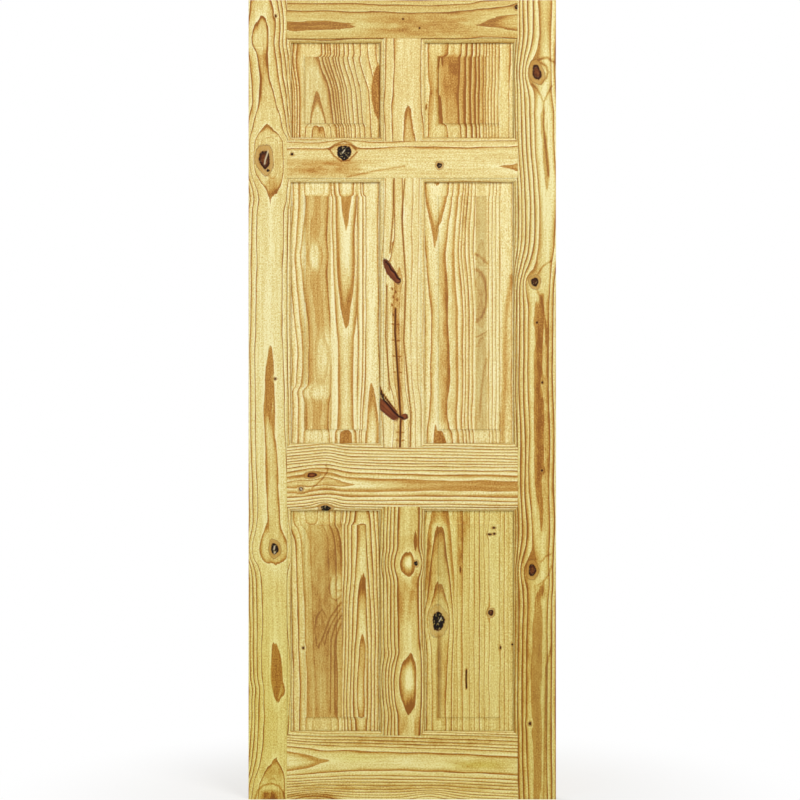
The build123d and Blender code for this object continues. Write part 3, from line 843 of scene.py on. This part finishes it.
HALF_FIELD = 10.0
FIELD_MARGIN = 35.0
SHOULDER_DEPTH = 0.8
COVE_RADIUS = 20.0
MARGIN_RISE = 0.6
HALF_TONGUE = 4.8
TONGUE_LENGTH = 8.0
COVE_TOP = HALF_FIELD - SHOULDER_DEPTH
COVE_FOOT = HALF_TONGUE + MARGIN_RISE
COVE_WIDTH = COVE_RADIUS * np.sin(np.arccos(1 - (COVE_TOP - COVE_FOOT) / COVE_RADIUS))
JOINT_GAP = 0.02  # half the step across a glue joint or a shoulder
JOINT_CLEAR = 0.8  # from there to the nearest other points
ACROSS_INSET, ALONG_INSET = 2, 4  # of the evenly spaced points from the edges of the field
FIELD_REACH = 14.0  # along the grain, of the closer points at a knot
SIGHT_DUST_AND_SHADE = (FIELD_MARGIN, 1.2, 1.0)  # place past the field's edge, half width and amount of dust and painted shade
SHOULDER_DUST_AND_SHADE = (0.3, 0.7, 0.45)


def panel_level(past_field):
    """Half the panel's thickness by the distance past the edge of its field: flat, a step, a quarter hollow
    that ends level, a slope, and the flat tongue."""
    from_foot = np.clip(COVE_WIDTH - past_field, 0, COVE_WIDTH)
    hollow = COVE_FOOT + COVE_RADIUS - np.sqrt(COVE_RADIUS**2 - from_foot**2)
    slope = np.interp(past_field, [COVE_WIDTH, FIELD_MARGIN], [COVE_FOOT, HALF_TONGUE])
    level = np.where(past_field < COVE_WIDTH, hollow, slope)
    return np.where(past_field < 0, HALF_FIELD, level)


def raised_panel(name, timber):
    """Raised panel: a front and a back height field over one grid, joined round the edge. A point's level
    comes from its greater distance past the field, across or up, so the hollows meet in mitres."""
    low, high = (np.array(corner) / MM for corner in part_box(name))
    half_width, half_height = (high - low)[[0, 2]] / 2 - TONGUE_LENGTH - FIELD_MARGIN
    middle_x, middle_z = (high + low)[[0, 2]] / 2
    margin = [[FIELD_MARGIN + TONGUE_LENGTH], np.linspace(FIELD_MARGIN + 1, FIELD_MARGIN - 1, 3)]
    margin += [np.linspace(FIELD_MARGIN, COVE_WIDTH, 7)[1:], np.linspace(COVE_WIDTH, JOINT_GAP, 8)[1:]]
    margin = np.concatenate(margin + [[-JOINT_GAP, -JOINT_CLEAR]])

    across_marks, along_marks = fine_marks(timber)
    across_end, along_end = half_width - ACROSS_INSET, half_height - ALONG_INSET
    columns = crowd(-across_end, across_end, ACROSS_SPACING, across_marks - middle_x, ACROSS_REACH)
    glue_joints = [(stave[0] - PHOTO_HINGE_EDGE) * PHOTO_MM - middle_x for stave in timber["staves"][:-1]]
    for joint in glue_joints:
        columns = columns[np.abs(columns - joint) > JOINT_CLEAR]
    columns = np.concatenate([columns, *[[joint - JOINT_GAP, joint + JOINT_GAP] for joint in glue_joints]])
    columns = np.concatenate([-half_width - margin, np.sort(columns), half_width + margin[::-1]])
    rows = crowd(-along_end, along_end, ALONG_SPACING, along_marks - middle_z, FIELD_REACH)
    rows = np.concatenate([-half_height - margin, rows, half_height + margin[::-1]])

    x, z = np.meshgrid(columns, rows)
    past_field = np.maximum(np.abs(x) - half_width, np.abs(z) - half_height)
    # Dust and painted shade darken the sight line and the field's shoulder
    dust_and_shade = np.zeros_like(x)
    for place, reach, amount in (SIGHT_DUST_AND_SHADE, SHOULDER_DUST_AND_SHADE):
        dust_and_shade += amount * np.exp(-(((past_field - place) / reach) ** 2))
    front = np.stack([x + middle_x, -panel_level(past_field), z + middle_z], axis=-1).reshape(-1, 3)
    points = np.concatenate([front, front * (1, -1, 1)])

    # Quads are turned so that their diagonals run with the mitres
    wide, tall = len(columns), len(rows)
    row, column = np.meshgrid(np.arange(tall - 1), np.arange(wide - 1), indexing="ij")
    corner = row * wide + column
    quads = np.stack([corner, corner + 1, corner + 1 + wide, corner + wide], axis=-1)
    rising = ((column < wide / 2) == (row < tall / 2))[..., None]
    quads = np.where(rising, quads, np.roll(quads, 1, axis=-1)).reshape(-1, 4)
    sheet = wide * tall
    bottom = np.arange(wide)
    right = np.arange(1, tall) * wide + wide - 1
    top = (tall - 1) * wide + np.arange(wide - 2, -1, -1)
    left = np.arange(tall - 2, 0, -1) * wide
    rim = np.concatenate([bottom, right, top, left])
    edge = np.stack([rim, np.roll(rim, -1), np.roll(rim, -1) + sheet, rim + sheet], axis=-1)
    faces = np.concatenate([quads, quads[:, ::-1] + sheet, edge]).tolist()
    lay_board(name, "panel_pine", timber, points, faces, np.tile(dust_and_shade.ravel(), 2))


PANEL_CUT = dict(upright=True, front=HALF_FIELD, heart=-1)

upper_left_pith = [
    (42, 309, 30.8), (57, 309.5, 30.1), (84, 315, 28.5), (90, 316, 28.2), (100, 316.6, 27.9),
    (110, 317.2, 27.5), (121, 317.8, 27), (138, 318, 26.6),
]
upper_left_rings = [
    22, (25.6, 0.5, 0.6), (27.4, 0.3, 0), (28.2, 0.6, 0.62), (28.9, 0.3, 0), (31.5, 1.0, 0.6), 33, 34.5, 36,
    38.4, 40, 42, 45.4, 49, 52.8, 59, 66,
]
upper_left_timber = dict(
    PANEL_CUT, seed=10, tone=0.09, gold=0.05, late=(0.9, 0.66),
    staves=[(np.inf, 0, upper_left_pith, upper_left_rings)],
    lenses=[((378, 91), (7.4, 31))],
    mottles=[((333, 88), (10, 40), 0.14)],
    stains=[((339, 90), (50, 60), 0.1)],
)
raised_panel("upper_left_panel", upper_left_timber)

upper_right_pith = [
    (42, 438, 19.4), (84, 438.3, 20.3), (90, 438, 20.6), (96.5, 437.7, 20.3), (121, 437.5, 19.5),
    (138, 437.5, 19.2),
]
upper_right_rings = [
    12, 20.3, 29.7, (34.8, 2.2, 0.72), (39.4, 2.4, 0.72), (43.4, 2.0, 0.72), (46.5, 1.4, 0.7), 50.2, 52.4,
    55.2, 58, 60.9, 64.2, 74.7, 82,
]
upper_right_tones = [(462.5, 0.3), (485, 0.24), (np.inf, 0)]
upper_right_timber = dict(
    PANEL_CUT, seed=11, tone=0.07, gold=0.1, late=(1.2, 0.55),
    staves=[(edge, tone, upper_right_pith, upper_right_rings) for edge, tone in upper_right_tones],
    mottles=[((451.5, 75), (11, 30), 0.2), ((450, 64), (9, 10), 0.12)],
    streaks=[([(426, 103), (426, 108)], 0.7, 0.8)],
)
raised_panel("upper_right_panel", upper_right_timber)

brown_stave_pith = [
    (180, 317, 11), (200, 317, 11.3), (240, 315, 10.8), (256, 314.5, 8.4), (272, 315, 10.8),
    (330, 320, 11.2), (355, 322, 9.4), (384, 320, 11), (392, 317, 8.6), (402, 317, 11), (446, 316, 11.2),
]
wedge_stave_pith = [
    (180, 346, 7), (197, 346, 8.2), (229, 345.2, 10), (270, 346, 10.9), (300, 346, 12.4),
    (329.7, 345.9, 14), (340, 345.5, 14.6), (380, 345.5, 14.7), (446, 345.5, 14.5),
]
arch_stave_pith = [
    (180, 370.5, 11.3), (300, 370.5, 11.1), (370, 371.2, 10.6), (384.5, 371.5, 9.9), (400, 371.8, 8.6),
    (430, 372, 6.6), (446, 372, 6.2),
]
brown_stave_rings = [(4, 1.2, 0.15), (12, 1.2, 0.15), (16.4, 1.4, 0.4), (21.5, 2, 0.5), (26.5, 1.2, 0.5)]
wedge_stave_rings = [(5, 2, 0.6), (10, 2.2, 0.62), (14, 2.2, 0.62), (16.7, 1.6, 0.55), 22, 26]
arch_stave_rings = [(3.5, 1.2, 0.3), (8, 2.4, 0.62), (12.4, 0.8, 0.6), 14, 17.5]
middle_left_timber = dict(
    PANEL_CUT, seed=12, tone=-0.06, gold=0.05, late=(1.2, 0.6),
    staves=[
        (305.5, 0, brown_stave_pith, brown_stave_rings), (330.5, 0.3, brown_stave_pith, brown_stave_rings),
        (335.5, -0.05, wedge_stave_pith, wedge_stave_rings),
        (356.8, 0, wedge_stave_pith, wedge_stave_rings), (np.inf, -0.05, arch_stave_pith, arch_stave_rings),
    ],
    mottles=[((314, 256), (4.5, 15), -0.36), ((323, 356), (7, 26), -0.3), ((317, 392), (12, 8), -0.3)],
)
raised_panel("middle_left_panel", middle_left_timber)

v_stave_pith = [
    (182, 437, 7.5), (198, 437, 9.5), (226, 437, 14), (250, 437, 15.9), (262, 437.8, 16.4),
    (290, 440, 16.5), (320, 441.5, 16.5), (380, 441.5, 16.5), (415, 440, 16.4), (428, 439.5, 15),
    (446, 440, 14.2),
]
dome_stave_pith = [
    (182, 481.5, 9), (235, 481.5, 8.2), (258, 481, 6), (268, 481.5, 8.2), (283, 481.5, 5.4),
    (298, 481.5, 8), (318, 481, 6), (330, 481.5, 8.1), (343, 481.5, 7.2), (380, 481.5, 5.5),
    (446, 481.5, 4.8),
]
pale_stave_pith = [(182, 470, 12), (446, 470, 12)]
v_stave_rings = [
    6, (14, 2.0, 0.6), (18.2, 1.3, 0.52), (23.6, 2.4, 0.5), (27.6, 1.4, 0.5), (30, 1.2, 0.5),
    (33, 1.4, 0.55), (36.4, 1.6, 0.5), 40,
]
dome_stave_rings = [(edge, 1.6, 0.13) for edge in (3, 5.4, 8, 10.5, 13)]
pale_stave_rings = [
    15, (22.9, 0.8, 0.5), (25.9, 0.8, 0.5), (29.1, 0.8, 0.5), (32.3, 0.8, 0.4), (43.7, 0.9, 0.4), 50,
]
dome = [(476.5, 269.5), (481, 272), (485, 281), (486.6, 294), (485.8, 307), (482, 316.5), (476.5, 321.5)]
margin_flame = [(512, 276), (508, 300), (506, 320), (505, 350), (505, 380), (503.5, 410), (502.5, 444)]
middle_right_timber = dict(
    PANEL_CUT, seed=13, tone=-0.03, gold=0.05, late=(1.0, 0.55),
    staves=[
        (476, 0, v_stave_pith, v_stave_rings), (486.8, 0.16, dome_stave_pith, dome_stave_rings),
        (np.inf, -0.03, pale_stave_pith, pale_stave_rings),
    ],
    mottles=[
        ((446, 350), (6, 90), 0.2), ((509, 385), (3, 60), 0.16), ((465.5, 212), (3, 16), 0.25),
        ((441, 438.5), (6, 6), 0.12), ((481, 295), (4.5, 23), 0.12),
    ],
    stains=[((481.4, 315), (5.6, 140), 0.24)],
    curls=[
        ([(475.8, 254), (480, 256), (487, 263)], 1.3, 0.32),
        ([(476.5, 337), (481, 335), (486.8, 331.5)], 0.6, 0.4),
        ([(476.5, 347), (480, 340), (486.8, 334.5)], 0.7, 0.2),
    ],
    streaks=[
        (margin_flame, 2.4, 0.36), (dome, 1.4, 0.37),
        ([(479, 420), (481.5, 390), (484, 370), (486.8, 360)], 1.0, 0.22),
    ],
)
raised_panel("middle_right_panel", middle_right_timber)

mottled_stave_pith = [
    (508, 311, 8.4), (522, 311.5, 9.8), (532, 316, 10.5), (545, 319, 10.8), (590, 320.5, 11),
    (606, 321, 10.9), (612, 321, 11.2), (646, 321, 12), (680, 322, 12.6), (735, 322, 12.8),
]
# Depths below zero put the heart of this stave on the other side of the face
loop_stave_pith = [
    (508, 362, -11.6), (524.5, 362, -10.9), (545, 362.5, -10.2), (571.6, 363, -9), (600, 362.3, -7.3),
    (636, 362.4, -5.4), (650, 362, -4.2), (700, 361, -3.4), (716, 361, -4.4), (735, 361, -4.8),
]
mottled_stave_rings = [(5, 1, 0.2), (10, 0.9, 0.4), (14.5, 1.2, 0.16), (20, 1.4, 0.4), (25.5, 1.4, 0.6), 31]
loop_stave_rings = [(2, 0.5, 0.1), (5.4, 1.1, 0.66), (9, 1.4, 0.66), 12, 15.3, 18.3, 21, 24]
lower_left_timber = dict(
    PANEL_CUT, seed=14, tone=0.02, gold=0.3, late=(1.0, 0.66),
    knots=[((303, 648.5), (1.0, 1.2), 0.6, 0)],
    staves=[
        (307.5, 0, mottled_stave_pith, mottled_stave_rings),
        (341.8, 0.2, mottled_stave_pith, mottled_stave_rings),
        (np.inf, 0, loop_stave_pith, loop_stave_rings),
    ],
    mottles=[
        ((325, 622), (17.5, 101), 0.14), ((335, 588), (6, 14), -0.34), ((322, 690), (9, 20), -0.12),
        ((334, 552), (8, 23), 0.24), ((322, 598), (8, 10), 0.14), ((319.5, 628), (4.5, 18), 0.24),
    ],
    stains=[((324.5, 620), (17, 100), 0.14)],
    curls=[
        ([(341, 596), (336, 601), (331, 598), (329, 588), (331, 578)], 0.8, 0.32),
        ([(341.5, 590), (337.5, 592), (336, 585), (337.5, 577)], 0.7, 0.28),
        ([(326.5, 618), (322, 609.5), (316.5, 617), (314.6, 630), (316.5, 646)], 0.8, 0.28),
    ],
    streaks=[
        ([(341, 603), (330, 618), (322, 640), (318, 648)], 1.0, 0.34),
        ([(341, 609), (333, 621), (327, 634), (324.5, 645)], 0.8, 0.34),
        ([(341, 616), (335, 626), (331, 640), (330, 715)], 0.8, 0.42),
        ([(341, 624), (337, 634), (334.5, 645), (335, 715)], 0.8, 0.36),
    ],
)
raised_panel("lower_left_panel", lower_left_timber)

knot_stave_pith = [
    (508, 440, 18), (520, 440, 17.2), (527, 440, 16), (560, 440, 13.9), (582, 440, 12), (600, 440, 10.6),
    (620, 439, 8), (642, 440, 8.6), (680, 439.5, 9.4), (735, 439, 10),
]
lined_stave_pith = [(508, 424, 9), (620, 424, 11), (735, 424, 10)]
plain_stave_pith = [(508, 470, 12), (735, 470, 12.5)]
knot_stave_rings = [7, (12, 0.8, 0.55), (16, 0.9, 0.6), (19, 2, 0.45), 22.5]
lined_stave_rings = [30, 35.4, (40.3, 1.6, 0.4), 47.1, 52, (57, 0.8, 0.8), 61.8, 68]
plain_stave_rings = [16, (23.3, 0.8, 0.5), (32.8, 0.7, 0.3), (37, 0.8, 0.55), (40.8, 0.7, 0.3), 46]
lower_right_timber = dict(
    PANEL_CUT, heart=-0.3, seed=15, tone=0.04, gold=0.42, late=(0.8, 0.34),
    staves=[
        (454.5, 0, knot_stave_pith, knot_stave_rings), (486, 0.02, lined_stave_pith, lined_stave_rings),
        (np.inf, -0.03, plain_stave_pith, plain_stave_rings),
    ],
    knots=[
        ((438.4, 621.6), (5.4, 8.8), 1.15, 0), ((491, 613), (2.5, 2.7), 0.5, 0),
        ((494.5, 534), (1.2, 1), 0.7, 0), ((490, 534.5), (2, 0.9), 0.6, 0),
        ((494, 528), (1.5, 0.9), 0.5, 0), ((500.6, 648), (0.8, 1.5), 0.6, 0),
        ((512.6, 645), (0.9, 0.9), 0.9, 0),
    ],
    streaks=[
        ([(439, 636), (438.5, 718)], 2.1, 0.32), ([(460.4, 567), (460.4, 573)], 0.7, 0.9),
        ([(466.4, 671), (466.2, 679), (466.6, 688)], 0.8, 1.25),
    ],
    mottles=[
        ((440, 570), (11, 32), 0.18), ((429.5, 570), (2.6, 34), 0.3), ((462, 560), (5, 40), 0.15),
        ((442, 680), (6, 38), 0.18), ((463.5, 520), (6.5, 9), 0.26), ((461.5, 539), (4.2, 11), 0.26),
        ((460.5, 556), (2.2, 10), 0.28), ((441, 518), (9, 6), 0.22),
    ],
    stains=[((438.6, 680), (3.2, 46), 0.35), ((440, 585), (9, 50), 0.15)],
    # a painted glint on the black knot
    splits_and_glints=[([(441.4, 618.2), (439.2, 621.8)], 0.45, 1)],
)
raised_panel("lower_right_panel", lower_right_timber)


# Floor: a plain pale studio floor that the door stands on. It takes the door's soft shadow close to the foot
# and turns to the white of the background further off.

FLOOR_COLOUR = "#F2F0EC"
WHITE = (1, 1, 1, 1)
FLOOR_REACH = 4.0  # metres
SHADOW_START, SHADOW_END = 0.3, 1.1  # metres from the door's foot, between which the floor turns white
SHADOW_WHITE = 0.55  # how white it is at the foot


def seen_directly(tree):
    """One for a ray that the eye sees, straight, in a reflection or through glass, and zero for any other."""
    path = node(tree, "LightPath", {})
    seen = path.outputs["Is Camera Ray"]
    for ray in ("Is Glossy Ray", "Is Transmission Ray"):
        seen = node(tree, "Math", {0: seen, 1: path.outputs[ray]}, operation="MAXIMUM")
    return seen


floor_mesh = bpy.data.meshes.new("floor")
floor_corners = np.array([(-1, -1, 0), (1, -1, 0), (1, 1, 0), (-1, 1, 0)])
floor_mesh.from_pydata(FLOOR_REACH * floor_corners, [], [(0, 1, 2, 3)])
floor = bpy.data.objects.new("floor", floor_mesh)
bpy.context.scene.collection.objects.link(floor)

# Matt floor paint, near white, that glows to full white away from the door
floor_material = bpy.data.materials.new("floor_paint")
floor_material.use_nodes = True
floor_tree = floor_material.node_tree
floor_tree.nodes.clear()
place = node(floor_tree, "TexCoord", {}).outputs["Object"]
foot = (DOOR_WIDTH / 2 * MM, 0, 0)
gap = node(floor_tree, "VectorMath", {0: place, 1: foot}, operation="DISTANCE")
fade = {"Value": gap, "From Min": SHADOW_START, "From Max": SHADOW_END, "To Min": SHADOW_WHITE, "To Max": 1.0}
whiteness = node(floor_tree, "MapRange", fade, interpolation_type="SMOOTHSTEP")
paint = node(floor_tree, "BsdfDiffuse", {"Color": linear(FLOOR_COLOUR)})
white = node(floor_tree, "Emission", {"Color": WHITE, "Strength": 1.0})
share = node(floor_tree, "Math", {0: seen_directly(floor_tree), 1: whiteness}, operation="MULTIPLY")
mixed = node(floor_tree, "MixShader", {0: share, 1: paint, 2: white})
node(floor_tree, "OutputMaterial", {"Surface": mixed})
floor_mesh.materials.append(floor_material)


# Studio: white all round, a large soft lamp high on the right and a weaker one low on the left.
# A third lamp behind the door lights its back. All three are square softboxes that face its middle.

SKY_LIGHT = 0.38  # strength with which the white surroundings light the door

world = bpy.data.worlds.new("studio")
bpy.context.scene.world = world
world.use_nodes = True
sky_tree = world.node_tree
sky_tree.nodes.clear()
level = node(sky_tree, "MapRange", {"Value": seen_directly(sky_tree), "To Min": SKY_LIGHT, "To Max": 1.0})
sky = node(sky_tree, "Background", {"Color": WHITE, "Strength": level})
node(sky_tree, "OutputWorld", {"Surface": sky})

DOOR_MIDDLE = np.array([DOOR_WIDTH / 2, 0, DOOR_HEIGHT / 2]) * MM


def softbox(name, place, size, power):
    """Square lamp at a place in metres, turned to face the middle of the door."""
    lamp = bpy.data.lights.new(name, "AREA")
    lamp.size = size
    lamp.energy = power
    box = bpy.data.objects.new(name, lamp)
    away = Vector(place) - Vector(DOOR_MIDDLE)
    box.rotation_euler = away.to_track_quat("Z", "Y").to_euler()
    box.location = place
    bpy.context.scene.collection.objects.link(box)


softbox("key_softbox", (1.9, -3.2, 3.6), 1.6, 96)
softbox("fill_softbox", (-2.2, -3.4, 1.6), 2.2, 26)
softbox("back_softbox", (-1.5, 3.2, 2.8), 2.0, 75)


# Camera: straight in front of the door, far enough back for the panels to show almost no perspective.
# Its lens shows the door's front face at PHOTO_MM to the pixel, and in the photograph's place.

CAMERA_DISTANCE = 5.0  # metres from the door's front face
PHOTO_SIZE = 800
SENSOR = 36.0

camera_data = bpy.data.cameras.new("camera")
camera_data.sensor_width = SENSOR
camera_data.lens = SENSOR * CAMERA_DISTANCE / (PHOTO_SIZE * PHOTO_MM * MM)
camera = bpy.data.objects.new("camera", camera_data)
middle_x = (PHOTO_SIZE / 2 - PHOTO_HINGE_EDGE) * PHOTO_MM
middle_z = DOOR_HEIGHT - PHOTO_SIZE / 2 * PHOTO_MM
camera.location = (middle_x * MM, -CAMERA_DISTANCE - FACE_LEVEL * MM, middle_z * MM)
camera.rotation_euler = (np.pi / 2, 0, 0)
bpy.context.scene.collection.objects.link(camera)
bpy.context.scene.camera = camera
bpy.context.scene.view_settings.view_transform = "Standard"
